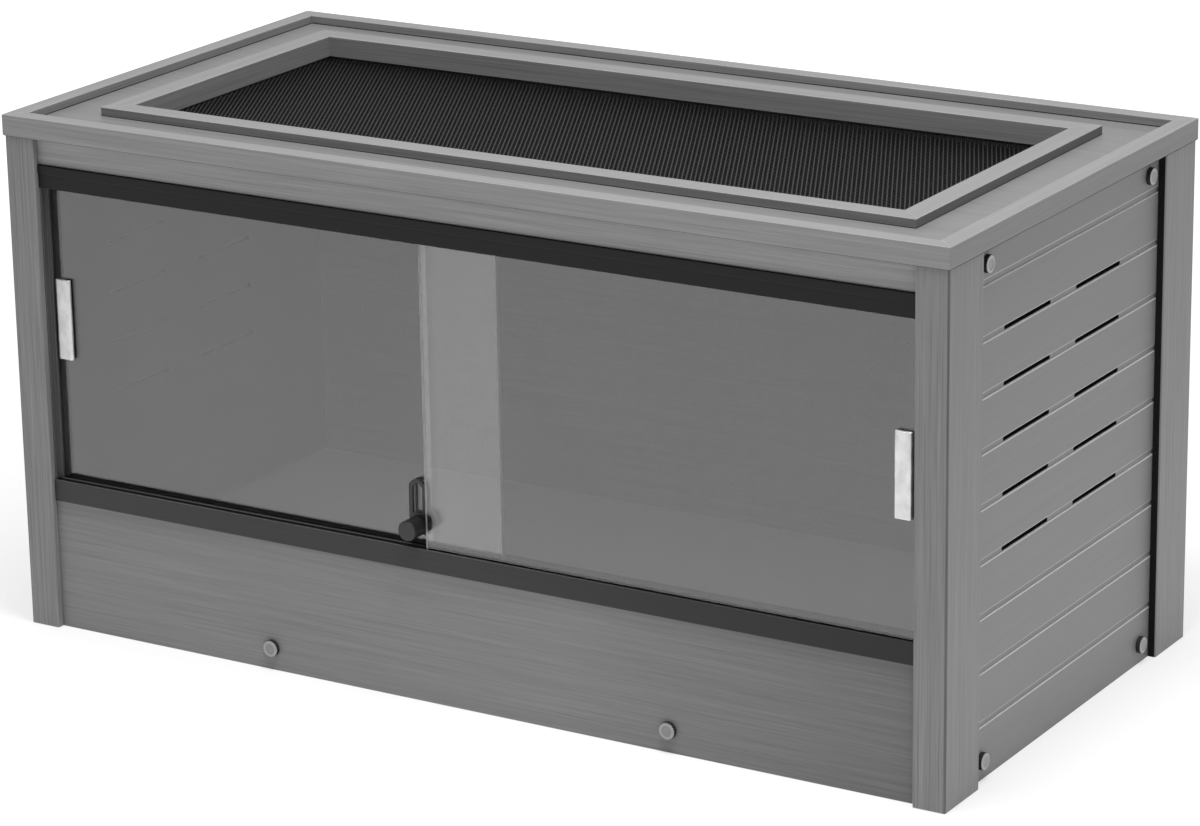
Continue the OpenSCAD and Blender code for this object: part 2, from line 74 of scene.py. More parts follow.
def startEdit(piece, kind="FACE"):
    pick(piece)
    bpy.ops.object.mode_set(mode="EDIT")
    bpy.ops.mesh.select_mode(type=kind)
    bpy.ops.mesh.select_all(action="DESELECT")


def endEdit():
    bpy.ops.object.mode_set(mode="OBJECT")


def selectFaces(piece, wanted):
    mesh = bmesh.from_edit_mesh(piece.data)
    for face in mesh.faces:
        face.select_set(wanted(face.calc_center_median(), face.normal))
    bmesh.update_edit_mesh(piece.data)


def selectEdges(piece, wanted):
    mesh = bmesh.from_edit_mesh(piece.data)
    for edge in mesh.edges:
        edge.select_set(wanted(edge.verts[0].co, edge.verts[1].co))
    bmesh.update_edit_mesh(piece.data)


def selectVertices(piece, wanted):
    mesh = bmesh.from_edit_mesh(piece.data)
    for vertex in mesh.verts:
        vertex.select_set(wanted(vertex.co))
    bmesh.update_edit_mesh(piece.data)


def bevelSelected(width, segments):
    bpy.ops.mesh.bevel(offset=width * mm, segments=segments, affect="EDGES")


def cutAcross(piece, places, direction):
    startEdit(piece)
    for place in places:
        bpy.ops.mesh.select_all(action="SELECT")
        bpy.ops.mesh.bisect(plane_co=place, plane_no=direction)
    endEdit()


def joinAll(pieces):
    # the first one takes the others in
    deselectAll()
    for piece in pieces:
        piece.select_set(True)
    bpy.context.view_layer.objects.active = pieces[0]
    bpy.ops.object.join()


def applyModifiers(piece):
    pick(piece)
    for modifier in list(piece.modifiers):
        bpy.ops.object.modifier_apply(modifier=modifier.name)


def bakePlace(piece):
    pick(piece)
    bpy.ops.object.transform_apply(location=True, rotation=True, scale=True)


def recalculateNormals(piece):
    startEdit(piece)
    bpy.ops.mesh.select_all(action="SELECT")
    bpy.ops.mesh.normals_make_consistent(inside=False)
    endEdit()


def near(a, b, reach=0.00002):
    return abs(a - b) < reach


# shader nodes

untinted = (1.0, 1.0, 1.0)


def newMaterial(name):
    material = bpy.data.materials.new(name)
    material.use_nodes = True
    tree = material.node_tree
    tree.nodes.clear()
    shader = tree.nodes.new("ShaderNodeBsdfPrincipled")
    output = tree.nodes.new("ShaderNodeOutputMaterial")
    tree.links.new(shader.outputs["BSDF"], output.inputs["Surface"])
    return material, tree, shader


def stretchedNoise(tree, scale, detail=4.0, roughness=0.55):
    place = tree.nodes.new("ShaderNodeTexCoord")
    stretch = tree.nodes.new("ShaderNodeMapping")
    stretch.inputs["Scale"].default_value = scale
    noise = tree.nodes.new("ShaderNodeTexNoise")
    noise.inputs["Scale"].default_value = 1.0
    noise.inputs["Detail"].default_value = detail
    noise.inputs["Roughness"].default_value = roughness
    tree.links.new(place.outputs["Object"], stretch.inputs["Vector"])
    tree.links.new(stretch.outputs["Vector"], noise.inputs["Vector"])
    return noise.outputs["Fac"]


def mapRange(tree, value, low, high, fromLow=0.3, fromHigh=0.7):
    # most of a noise lies between fromLow and fromHigh
    node = tree.nodes.new("ShaderNodeMapRange")
    node.inputs["From Min"].default_value = fromLow
    node.inputs["From Max"].default_value = fromHigh
    node.inputs["To Min"].default_value = low
    node.inputs["To Max"].default_value = high
    tree.links.new(value, node.inputs["Value"])
    return node.outputs["Result"]


def combine(tree, operation, first, second):
    node = tree.nodes.new("ShaderNodeMath")
    node.operation = operation
    for socket, value in zip(node.inputs, (first, second)):
        if isinstance(value, (int, float)):
            socket.default_value = value
        else:
            tree.links.new(value, socket)
    return node.outputs["Value"]


def rampColour(tree, value, dark, light, tint=untinted):
    ramp = tree.nodes.new("ShaderNodeValToRGB")
    ramp.color_ramp.elements[0].color = [dark * part for part in tint] + [1.0]
    ramp.color_ramp.elements[1].color = [light * part for part in tint] + [1.0]
    tree.links.new(value, ramp.inputs["Fac"])
    return ramp.outputs["Color"]


def fadeColour(material, axis, start, end, endShare):
    # the colour changes slowly along one axis, to endShare of what it was
    tree = material.node_tree
    shader = next(node for node in tree.nodes if node.type == "BSDF_PRINCIPLED")
    colour = shader.inputs["Base Color"].links[0].from_socket
    place = tree.nodes.new("ShaderNodeTexCoord")
    parts = tree.nodes.new("ShaderNodeSeparateXYZ")
    tree.links.new(place.outputs["Object"], parts.inputs["Vector"])
    scale = tree.nodes.new("ShaderNodeVectorMath")
    scale.operation = "SCALE"
    tree.links.new(colour, scale.inputs[0])
    share = mapRange(tree, parts.outputs[axis], 1.0, endShare, start, end)
    tree.links.new(share, scale.inputs["Scale"])
    tree.links.new(scale.outputs["Vector"], shader.inputs["Base Color"])


def addBump(tree, shader, height, strength, distance):
    bump = tree.nodes.new("ShaderNodeBump")
    bump.inputs["Strength"].default_value = strength
    bump.inputs["Distance"].default_value = distance * mm
    tree.links.new(height, bump.inputs["Height"])
    tree.links.new(bump.outputs["Normal"], shader.inputs["Normal"])


# painted wood: fine brushed grain along one axis, broad streaks, and edges painted lighter, partly as rubbed
# paint and partly as painted highlight

paint = {
    # reflectances; the inside and floor tones are painted shade, the rail and cap face tones painted light,
    # the lid side tone painted shade, the groove tones painted highlight
    "boardTone": 0.21, "lowerBoardTone": 0.215, "insideTone": 0.11, "floorTone": 0.13, "railTone": 0.32,
    "capTone": 0.205, "capFaceTone": 0.25, "lidTone": 0.2, "lidSideTone": 0.19, "topPanelTone": 0.165,
    "cornerTone": 0.12, "grooveLowTone": 0.6, "grooveHighTone": 0.45,
    "edgeLift": 1.35,                                       # how much lighter the edges are: rubbed paint, and painted highlight
    "fineAcross": 600, "fineAlong": 8,                      # streaks per metre
    "broadAcross": 120, "broadAlong": 1.6,
    "fineNoise": (5.0, 0.65), "broadNoise": (3.0, 0.5),     # detail and roughness
    "roughLow": 0.4, "roughHigh": 0.54, "specular": 0.15,
    "bumpStrength": 0.3, "bumpDepth": 0.08}
grainSpread = {"post": (0.26, 0.05), "board": (0.16, 0.05), "panel": (0.07, 0.03)}   # fine and broad share


def alongAxis(axis, across, along):
    return tuple(along if place == "XYZ".index(axis) else across for place in range(3))


def paintedWood(name, axis, tone, kind):
    material, tree, shader = newMaterial(name)
    fineSpread, broadSpread = grainSpread[kind]
    fineScale = alongAxis(axis, paint["fineAcross"], paint["fineAlong"])
    broadScale = alongAxis(axis, paint["broadAcross"], paint["broadAlong"])
    fine = stretchedNoise(tree, fineScale, *paint["fineNoise"])
    broad = stretchedNoise(tree, broadScale, *paint["broadNoise"])
    fineShare = mapRange(tree, fine, 0.0, fineSpread)
    broadShare = mapRange(tree, broad, 0.0, broadSpread)
    spread = fineSpread + broadSpread
    blend = mapRange(tree, combine(tree, "ADD", fineShare, broadShare), 0.0, 1.0, 0.0, spread)
    colour = rampColour(tree, blend, tone * (1 - spread), tone * (1 + spread))
    tree.links.new(colour, shader.inputs["Base Color"])
    tree.links.new(mapRange(tree, fine, paint["roughLow"], paint["roughHigh"]), shader.inputs["Roughness"])
    shader.inputs["Specular IOR Level"].default_value = paint["specular"]
    addBump(tree, shader, fine, paint["bumpStrength"], paint["bumpDepth"])
    return material


paintStore = {}


def paintFor(axis, toneName, kind, edge=False):
    name = toneName.replace("Tone", "Paint") + ("Edge" if edge else "") + kind.capitalize() + axis
    if name not in paintStore:
        tone = paint[toneName] * (paint["edgeLift"] if edge else 1)
        paintStore[name] = paintedWood(name, axis, tone, kind)
    return paintStore[name]


# black plastics, metals, tape, painted shade and wire
# patches: how many there are in a metre along X, Y and Z; bump: its strength, and its depth in mm

# the edges of the tracks and jambs are painted lighter, as painted highlight
topTrackFinish = {
    "tone": 0.01, "edgeHighlightTone": 0.016, "spread": 0.25, "rough": (0.45, 0.6), "specular": 0.12,
    "patches": (6, 900, 900), "bump": (0.2, 0.05)}
bottomTrackFinish = {
    "tone": 0.028, "edgeHighlightTone": 0.09, "spread": 0.25, "rough": (0.42, 0.6), "specular": 0.2,
    "patches": (6, 900, 900), "bump": (0.2, 0.05)}
jambFinish = {
    "tone": 0.07, "edgeHighlightTone": 0.1, "innerLitTone": 0.35, "spread": 0.15, "rough": (0.45, 0.6), "specular": 0.2,
    "patches": (900, 900, 6), "bump": (0.2, 0.05)}
lockFinish = {
    "tone": 0.012, "spread": 0.3, "rough": (0.34, 0.5), "specular": 0.3,
    "patches": (1500, 1500, 1500), "bump": (0.3, 0.08)}
handleFinish = {
    "tone": 0.41, "spread": 0.2, "rough": (0.3, 0.44), "metallic": 0.75,
    "patches": (110, 110, 70), "bump": (0.2, 0.08)}
handleHighlightFinish = {
    "tone": 0.75, "spread": 0.2, "rough": (0.3, 0.44), "metallic": 0.75,
    "patches": (300, 300, 300), "bump": (0.2, 0.05)}
screwFaceFinish = {
    "tone": 0.2, "dishTone": 0.14, "spread": 0.15, "rough": (0.32, 0.46), "metallic": 0.55,
    "patches": (900, 900, 900), "bump": (0.2, 0.05)}
screwSideFinish = {
    "tone": 0.02, "spread": 0.3, "rough": (0.4, 0.6), "specular": 0.25,
    "patches": (900, 900, 900), "bump": (0.2, 0.05)}
steelFinish = {
    "tone": 0.5, "spread": 0.15, "rough": (0.3, 0.45), "metallic": 0.85,
    "patches": (700, 700, 700), "bump": (0.2, 0.05)}
brassFinish = {
    "tone": 1.0, "tint": (0.72, 0.55, 0.28), "spread": 0.1, "rough": (0.3, 0.5), "metallic": 1.0,
    "patches": (900, 900, 900), "bump": (0.2, 0.05)}
tapeFinish = {
    "tone": 0.03, "spread": 0.3, "rough": (0.7, 0.9),
    "patches": (1800, 1800, 1800), "bump": (0.5, 0.2)}
# near black, painted where shade falls: under the cap, on the posts' lip steps, in the vent slots and along
# the lid's edges
shadeFinish = {
    "tone": 0.012, "spread": 0.3, "rough": (0.7, 0.9), "specular": 0.05,
    "patches": (400, 60, 400), "bump": (0.4, 0.15)}
strandFinish = {
    "tone": 0.019, "spread": 0.3, "rough": (0.45, 0.65), "specular": 0.1,
    "patches": (900, 900, 900), "bump": (0.3, 0.05)}
underStrandShadeFinish = {
    "tone": 0.004, "spread": 0.3, "rough": (0.5, 0.7), "specular": 0.03,
    "patches": (900, 900, 900), "bump": (0.3, 0.05)}


def mottled(name, finish, tone=None):
    material, tree, shader = newMaterial(name)
    noise = stretchedNoise(tree, finish["patches"])
    middle = finish["tone"] if tone is None else tone
    dark = middle * (1 - finish["spread"])
    light = middle * (1 + finish["spread"])
    colour = rampColour(tree, mapRange(tree, noise, 0.0, 1.0), dark, light, finish.get("tint", untinted))
    tree.links.new(colour, shader.inputs["Base Color"])
    tree.links.new(mapRange(tree, noise, *finish["rough"]), shader.inputs["Roughness"])
    addBump(tree, shader, noise, *finish["bump"])
    if "metallic" in finish:
        shader.inputs["Metallic"].default_value = finish["metallic"]
    if "specular" in finish:
        shader.inputs["Specular IOR Level"].default_value = finish["specular"]
    return material


topTrackPlastic = mottled("topTrackPlastic", topTrackFinish)
topTrackEdge = mottled("topTrackEdge", topTrackFinish, topTrackFinish["edgeHighlightTone"])
bottomTrackPlastic = mottled("bottomTrackPlastic", bottomTrackFinish)
bottomTrackEdge = mottled("bottomTrackEdge", bottomTrackFinish, bottomTrackFinish["edgeHighlightTone"])
jambPlastic = mottled("jambPlastic", jambFinish)
jambEdge = mottled("jambEdge", jambFinish, jambFinish["edgeHighlightTone"])
jambInner = mottled("jambInner", jambFinish, jambFinish["innerLitTone"])
lockPlastic = mottled("lockPlastic", lockFinish)
satinMetal = mottled("satinMetal", handleFinish)
satinHighlight = mottled("satinHighlight", handleHighlightFinish)
screwFace = mottled("screwFace", screwFaceFinish)
screwDish = mottled("screwDish", screwFaceFinish, screwFaceFinish["dishTone"])
screwSide = mottled("screwSide", screwSideFinish)
platedSteel = mottled("platedSteel", steelFinish)
foamTape = mottled("foamTape", tapeFinish)
paintedShade = mottled("paintedShade", shadeFinish)
strandWire = mottled("strandWire", strandFinish)
underStrandShaded = mottled("underStrandShaded", underStrandShadeFinish)
brassInsert = mottled("brassInsert", brassFinish)


# glass, and its ground edges

glassFinish = {"smear": (9, 9, 5), "smearDetail": 3.0, "tint": (0.93, 0.965), "ior": 1.52, "lampShare": 0.3}
glassEdgeFinish = {
    "tone": 0.9, "darkShare": 0.85, "lightShare": 1.1, "rough": (0.3, 0.5),
    "grit": (900, 900, 60), "bump": (0.3, 0.05)}


def clearGlass():
    # real glass for the eye, and a dim filter for the lamps' light
    material, tree, shader = newMaterial("clearGlass")
    output = shader.outputs["BSDF"].links[0].to_node
    smear = stretchedNoise(tree, glassFinish["smear"], glassFinish["smearDetail"])
    tint = rampColour(tree, mapRange(tree, smear, 0.0, 1.0), *glassFinish["tint"])
    tree.links.new(tint, shader.inputs["Base Color"])
    shader.inputs["IOR"].default_value = glassFinish["ior"]
    shader.inputs["Roughness"].default_value = 0.0
    shader.inputs["Transmission Weight"].default_value = 1.0
    path = tree.nodes.new("ShaderNodeLightPath")
    filterLight = tree.nodes.new("ShaderNodeBsdfTransparent")
    filterLight.inputs["Color"].default_value = [glassFinish["lampShare"]] * 3 + [1.0]
    choose = tree.nodes.new("ShaderNodeMixShader")
    passing = combine(tree, "MAXIMUM", path.outputs["Is Shadow Ray"], path.outputs["Is Diffuse Ray"])
    tree.links.new(passing, choose.inputs["Fac"])
    tree.links.new(shader.outputs["BSDF"], choose.inputs[1])
    tree.links.new(filterLight.outputs["BSDF"], choose.inputs[2])
    tree.links.new(choose.outputs["Shader"], output.inputs["Surface"])
    return material


def groundEdge():
    material, tree, shader = newMaterial("groundGlassEdge")
    grit = stretchedNoise(tree, glassEdgeFinish["grit"])
    dark = glassEdgeFinish["tone"] * glassEdgeFinish["darkShare"]
    light = glassEdgeFinish["tone"] * glassEdgeFinish["lightShare"]
    tree.links.new(rampColour(tree, grit, dark, light), shader.inputs["Base Color"])
    tree.links.new(mapRange(tree, grit, *glassEdgeFinish["rough"]), shader.inputs["Roughness"])
    addBump(tree, shader, grit, *glassEdgeFinish["bump"])
    return material


paneGlass = clearGlass()
paneEdge = groundEdge()
print("materials made")


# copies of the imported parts: merged, with softened edges in their own finish

def pieceName(node):
    first, *rest = node.split("_")
    return first + "".join(word.capitalize() for word in rest)


def nameAs(piece, name):
    piece.name = name
    piece.data.name = piece.name


def settle(piece, node):
    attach(piece, nodeBody[node])
    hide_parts(node)


def copyPart(node):
    piece = bpy.data.objects.new(pieceName(node), frame["nodes"][node].data.copy())
    bpy.context.scene.collection.objects.link(piece)
    piece.data.name = piece.name
    piece.data.materials.clear()
    pick(piece)
    bpy.ops.mesh.customdata_custom_splitnormals_clear()
    startEdit(piece, "VERT")
    bpy.ops.mesh.select_all(action="SELECT")
    bpy.ops.mesh.remove_doubles(threshold=mergeReach)
    bpy.ops.mesh.dissolve_limited(angle_limit=math.radians(flatTurn))
    endEdit()
    return piece


def softenEdges(piece, width, segments=3):
    bevel = piece.modifiers.new("softenEdges", "BEVEL")
    bevel.width = width * mm
    bevel.segments = segments
    bevel.limit_method = "ANGLE"
    bevel.angle_limit = math.radians(bevelOver)
    bevel.material = 1
    applyModifiers(piece)


def smoothShading(piece):
    pick(piece)
    bpy.ops.object.shade_smooth_by_angle(angle=math.radians(smoothUnder))
    flatten = piece.modifiers.new("flatFaces", "WEIGHTED_NORMAL")
    flatten.keep_sharp = True
    applyModifiers(piece)


def smoothRounds(piece, flatArea, angle=smoothUnder):
    # the rounded strips are smooth, and the flat faces larger than flatArea (in square mm) stay flat
    pick(piece)
    bpy.ops.object.shade_smooth_by_angle(angle=math.radians(angle))
    startEdit(piece, "EDGE")
    mesh = bmesh.from_edit_mesh(piece.data)
    for edge in mesh.edges:
        edge.select_set(any(face.calc_area() > flatArea * mm * mm for face in edge.link_faces))
    bmesh.update_edit_mesh(piece.data)
    bpy.ops.mesh.mark_sharp()
    endEdit()


def repaintFaces(piece, wanted, material):
    piece.data.materials.append(material)
    for face in piece.data.polygons:
        if wanted(face.center, face.normal):
            face.material_index = len(piece.data.materials) - 1


def dressPart(node, face, edge, width):
    piece = copyPart(node)
    piece.data.materials.append(face)
    piece.data.materials.append(edge)
    softenEdges(piece, width)
    smoothShading(piece)
    settle(piece, node)
    return piece


# boards and frames: axis of the grain, radius of the softened edges in mm, tone and kind of grain
boards = {
    "lower_board": ("X", 0.6, "lowerBoardTone", "board"),
    "sill_rail": ("X", 0.5, "boardTone", "board"),
    "back_panel": ("X", 0.55, "boardTone", "panel"),
    # the floor panel is painted darker than the boards, as painted shade
    "floor_panel": ("X", 0.4, "floorTone", "panel"),
    "top_panel": ("X", 0.5, "topPanelTone", "board"),
    "screen_strips": ("X", 0.3, "boardTone", "board"),
    "bearer_front": ("X", 0.4, "boardTone", "board"),
    "bearer_back": ("X", 0.4, "boardTone", "board"),
    "bearer_left": ("Y", 0.4, "boardTone", "board"),
    "bearer_right": ("Y", 0.4, "boardTone", "board"),
    "bearer_middle": ("Y", 0.4, "boardTone", "board"),
    "cleat_back": ("X", 0.4, "boardTone", "board"),
    "cleat_left": ("Y", 0.4, "boardTone", "board"),
    "cleat_right": ("Y", 0.4, "boardTone", "board"),
    "cap_front": ("X", 0.9, "capTone", "board"),
    "cap_back": ("X", 0.9, "capTone", "board"),
    "cap_left": ("Y", 0.9, "capTone", "board"),
    "cap_right": ("Y", 0.9, "capTone", "board")}
boardShade = {"start": 0.1, "end": 0.47, "endShare": 0.68}   # painted shade: the lower board darkens to the right
capUnderShade = {"from": -0.97, "to": -0.2}   # the rounded edges under the cap, painted dark as painted shade, by the Z of their normals
capFaceDepth = 2.0                      # what lies this near behind the cap's front is its face


def underCap(middle, normal):
    return capUnderShade["from"] < normal.z < capUnderShade["to"]


for node, (axis, width, toneName, kind) in boards.items():
    piece = dressPart(node, paintFor(axis, toneName, kind), paintFor(axis, toneName, kind, edge=True), width)
    # the rounded edges under the cap are painted dark, as painted shade
    if node.startswith("cap"):
        repaintFaces(piece, underCap, paintedShade)
    # the cap's front face is painted lighter than its top, as painted light
    if node == "cap_front":
        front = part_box(node)[0].y + capFaceDepth * mm
        repaintFaces(piece, lambda middle, normal: normal.y < -facing and middle.y < front,
                     paintFor(axis, "capFaceTone", kind))
    if node == "lower_board":
        for material in piece.data.materials:
            fadeColour(material, "X", **boardShade)
print("boards dressed")


# lid frame: lines painted dark as painted shade where it meets the screen and where it lies on the top panel,
# and outer sides painted a little darker as painted shade
lidFrame = {"edge": 0.8, "innerLine": 1.3, "outerLine": 0.7, "outerLean": 0.5}
lidParts = {
    "lid_front": ("X", (0, -1, 0)),
    "lid_back": ("X", (0, 1, 0)),
    "lid_left": ("Y", (-1, 0, 0)),
    "lid_right": ("Y", (1, 0, 0))}


def dressLid(node, axis, direction):
    outward = Vector(direction)
    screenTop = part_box("screen")[1].z
    innerLine = screenTop + lidFrame["innerLine"] * mm
    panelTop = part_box("top_panel")[1].z
    outerLine = panelTop + lidFrame["outerLine"] * mm

    def outerSide(middle, normal):
        return normal.dot(outward) > facing and middle.z > outerLine

    def outerShadeLine(middle, normal):
        return normal.dot(outward) > lidFrame["outerLean"] and panelTop < middle.z < outerLine

    def innerShadeLine(middle, normal):
        return normal.dot(outward) < -facing and screenTop < middle.z < innerLine

    piece = copyPart(node)
    piece.data.materials.append(paintFor(axis, "lidTone", "board"))
    piece.data.materials.append(paintFor(axis, "lidTone", "board", edge=True))
    cutAcross(piece, [(0, 0, height) for height in (screenTop, innerLine, outerLine)], (0, 0, 1))
    softenEdges(piece, lidFrame["edge"])
    smoothShading(piece)
    repaintFaces(piece, outerSide, paintFor(axis, "lidSideTone", "board"))
    repaintFaces(piece, outerShadeLine, paintedShade)
    repaintFaces(piece, innerShadeLine, paintedShade)
    settle(piece, node)


for node, (axis, direction) in lidParts.items():
    dressLid(node, axis, direction)
print("lid frame dressed")


# corner posts: a fine dark line down the outer corner, and the step of the lip, where the side panel
# slides in, painted dark as painted shade
postShape = {"edge": 0.7, "stepInset": 0.3, "cornerReach": 2.0, "cornerLean": 0.2}


def dressPost(node):
    low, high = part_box(node)
    cornerX = high.x if high.x > 0 else low.x
    cornerY = high.y if high.y > 0 else low.y
    reach = postShape["cornerReach"] * mm
    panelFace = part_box("side_panel_right")[1].x + postShape["stepInset"] * mm
    inward = 1 if "front" in node else -1

    def outerCorner(middle, normal):
        slanted = min(abs(normal.x), abs(normal.y)) > postShape["cornerLean"]
        return slanted and abs(middle.x - cornerX) < reach and abs(middle.y - cornerY) < reach

    def lipStep(middle, normal):
        return abs(middle.x) > panelFace and normal.y * inward > facing

    piece = dressPart(node, paintFor("Z", "boardTone", "post"), paintFor("Z", "boardTone", "post", edge=True),
                      postShape["edge"])
    repaintFaces(piece, outerCorner, paintFor("Z", "cornerTone", "post"))
    repaintFaces(piece, lipStep, paintedShade)


for node in ("post_front_left", "post_front_right", "post_rear_left", "post_rear_right"):
    dressPost(node)
print("posts dressed")


# side panels: soft-edged grooves, groove edges painted lighter as painted highlight, and vent slots and inner
# faces painted dark as painted shade
sidePanel = {
    "grooveRound": 1.05, "roundSteps": 3, "edge": 0.35, "edgeSteps": 2,
    "margin": 6.0,                          # what is nearer to the panel's edges is no groove or slot
    "slotInset": 1.6, "slotLean": 0.3,      # what counts as a slot's wall
    "grooveInset": 1.3, "grooveLean": (0.25, 0.99), "grooveTurn": 0.1}   # and as a groove's rounded edge


def dressSidePanel(node, outward):
    low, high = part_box(node)
    outerFace = high.x if outward > 0 else low.x
    middleX = (low.x + high.x) / 2
    halfThickness = (high.x - low.x) / 2
    margin = sidePanel["margin"] * mm
    slotReach = halfThickness - sidePanel["slotInset"] * mm
    grooveReach = halfThickness - sidePanel["grooveInset"] * mm
    leanLow, leanHigh = sidePanel["grooveLean"]

    def betweenEnds(height):
        return low.z + margin < height < high.z - margin

    def grooveEdge(a, b):
        onOuterFace = near(a.x, outerFace) and near(b.x, outerFace)
        return onOuterFace and near(a.z, b.z) and betweenEnds(a.z)

    def slotWall(middle, normal):
        within = abs(middle.x - middleX) < slotReach and low.y + margin < middle.y < high.y - margin
        return within and abs(normal.x) < sidePanel["slotLean"] and betweenEnds(middle.z)

    def grooveRound(middle, normal):
        # the rounded edges under and over each groove
        rounded = leanLow < abs(normal.z) < leanHigh and abs(normal.y) < sidePanel["grooveTurn"]
        return rounded and (middle.x - middleX) * outward > grooveReach and betweenEnds(middle.z)

    piece = copyPart(node)
    piece.data.materials.append(paintFor("Y", "boardTone", "panel"))
    piece.data.materials.append(paintFor("Y", "boardTone", "panel", edge=True))
    startEdit(piece, "EDGE")
    selectEdges(piece, grooveEdge)
    bevelSelected(sidePanel["grooveRound"], sidePanel["roundSteps"])
    endEdit()
    softenEdges(piece, sidePanel["edge"], sidePanel["edgeSteps"])
    smoothShading(piece)
    # the vent slots' walls are painted near black, as painted shade
    repaintFaces(piece, slotWall, paintedShade)
    # the grooves' rounded edges are painted lighter, as painted highlight
    repaintFaces(piece, lambda middle, normal: grooveRound(middle, normal) and normal.z > 0,
                 paintFor("Y", "grooveLowTone", "panel"))
    repaintFaces(piece, lambda middle, normal: grooveRound(middle, normal) and normal.z < 0,
                 paintFor("Y", "grooveHighTone", "panel"))
    # the inner faces are painted darker, as painted shade
    repaintFaces(piece, lambda middle, normal: normal.x * outward < -facing,
                 paintFor("Y", "insideTone", "panel"))
    settle(piece, node)


dressSidePanel("side_panel_left", -1)
dressSidePanel("side_panel_right", 1)
print("side panels dressed")


# upper front rail, with a rounded lower edge, painted lighter than the boards as painted light
railShape = {"lowerRound": 1.5, "roundSteps": 4, "edge": 0.5}


def dressRail():
    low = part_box("upper_rail")[0]

    def lowerFrontEdge(a, b):
        return near(a.z, low.z) and near(b.z, low.z) and near(a.y, low.y) and near(b.y, low.y)

    piece = copyPart("upper_rail")
    piece.data.materials.append(paintFor("X", "railTone", "board"))
    piece.data.materials.append(paintFor("X", "railTone", "board", edge=True))
    startEdit(piece, "EDGE")
    selectEdges(piece, lowerFrontEdge)
    bevelSelected(railShape["lowerRound"], railShape["roundSteps"])
    endEdit()
    softenEdges(piece, railShape["edge"])
    smoothShading(piece)
    settle(piece, "upper_rail")


dressRail()
print("upper rail dressed")


# tracks, jambs, lock, tapes and insert nuts: finish of the faces and of the edges, radius in mm
fittings = {
    "top_track": (topTrackPlastic, topTrackEdge, 0.35),
    "bottom_track": (bottomTrackPlastic, bottomTrackEdge, 0.4),
    "jamb_left": (jambPlastic, jambEdge, 0.3),
    "jamb_right": (jambPlastic, jambEdge, 0.3),
    "lock_plate": (lockPlastic, lockPlastic, 0.5),
    "lock_washer": (lockPlastic, lockPlastic, 0.25),
    "lock_knob": (lockPlastic, lockPlastic, 0.35),
    "lock_screw": (platedSteel, platedSteel, 0.5),
    "tape_left": (foamTape, foamTape, 0.3),
    "tape_right": (foamTape, foamTape, 0.3),
    "insert_nuts": (brassInsert, brassInsert, 0.3)}
trackShade = {"start": 0.0, "end": 0.47, "endShare": 0.3}   # painted shade: the bottom track darkens to the right
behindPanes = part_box("pane_left")[1].y

for node, (face, edge, width) in fittings.items():
    piece = dressPart(node, face, edge, width)
    # the jambs behind the panes are painted lighter, as painted light
    if node.startswith("jamb"):
        cutAcross(piece, [(0, behindPanes, 0)], (0, 1, 0))
        repaintFaces(piece, lambda middle, normal: middle.y > behindPanes, jambInner)
for material in (bottomTrackPlastic, bottomTrackEdge):
    fadeColour(material, "X", **trackShade)
print("tracks and lock dressed")


# glass panes, with ground edges
paneShape = {"arris": 0.4, "arrisSteps": 1}


def dressPane(node):
    piece = copyPart(node)
    piece.data.materials.append(paneGlass)
    piece.data.materials.append(paneEdge)
    softenEdges(piece, paneShape["arris"], paneShape["arrisSteps"])
    for face in piece.data.polygons:
        face.material_index = 0 if abs(face.normal.y) > facing else 1
    settle(piece, node)


for node in ("pane_left", "pane_right"):
    dressPane(node)
print("panes dressed")


# stick-on handles: a bar with a crowned front and softened ends, the ends painted bright as painted highlight
handleShape = {
    "crownRound": 2.6, "crownSteps": 7, "endRound": 0.9, "endSteps": 4,
    "endLean": 0.3, "flatArea": 200}   # how far the ends' faces look up or down, and square mm


def modelHandle(node):
    low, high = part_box(node)

    def frontEdge(a, b):
        return near(a.y, low.y) and near(b.y, low.y) and near(a.x, b.x)

    def endOutline(a, b):
        # the outline of each end, except where it meets the tape
        return near(a.z, b.z) and not (near(a.y, high.y) and near(b.y, high.y))

    bpy.ops.mesh.primitive_cube_add(size=1, location=(low + high) / 2, scale=high - low)
    piece = bpy.context.active_object
    nameAs(piece, pieceName(node))
    bakePlace(piece)
    startEdit(piece, "EDGE")
    selectEdges(piece, frontEdge)
    bevelSelected(handleShape["crownRound"], handleShape["crownSteps"])
    selectEdges(piece, endOutline)
    bevelSelected(handleShape["endRound"], handleShape["endSteps"])
    endEdit()
    piece.data.materials.append(satinMetal)
    # the ends are painted bright, as painted highlight
    repaintFaces(piece, lambda middle, normal: abs(normal.z) > handleShape["endLean"], satinHighlight)
    smoothRounds(piece, handleShape["flatArea"])
    settle(piece, node)


for node in ("handle_left", "handle_right"):
    modelHandle(node)
print("handles modelled")


# thumb screws: a scalloped head with a shallow dish
thumbScrew = {
    "headDia": 16.4, "lobes": 20, "stepsPerLobe": 4,
    "scallop": 0.55, "scallopEase": 3,    # depth in the middle, and how many times less beside it
    "rimRound": 0.6, "rimSteps": 3, "rimWidth": 2.4, "dishRound": 0.6, "dish": 0.25,
    "rimReach": 1.2,                      # how many rounds in from the outside the scallops reach
    "shankDia": 6.0, "shankSides": 24, "tipRound": 0.6, "tipSteps": 1,
    "faceLean": 0.3,                      # what looks out by more than this belongs to the bright face
    "flatArea": 20, "smoothUnder": 40,    # square mm, and degrees
    "spin": 11}                           # degrees from one screw to the next, so that no two stop alike


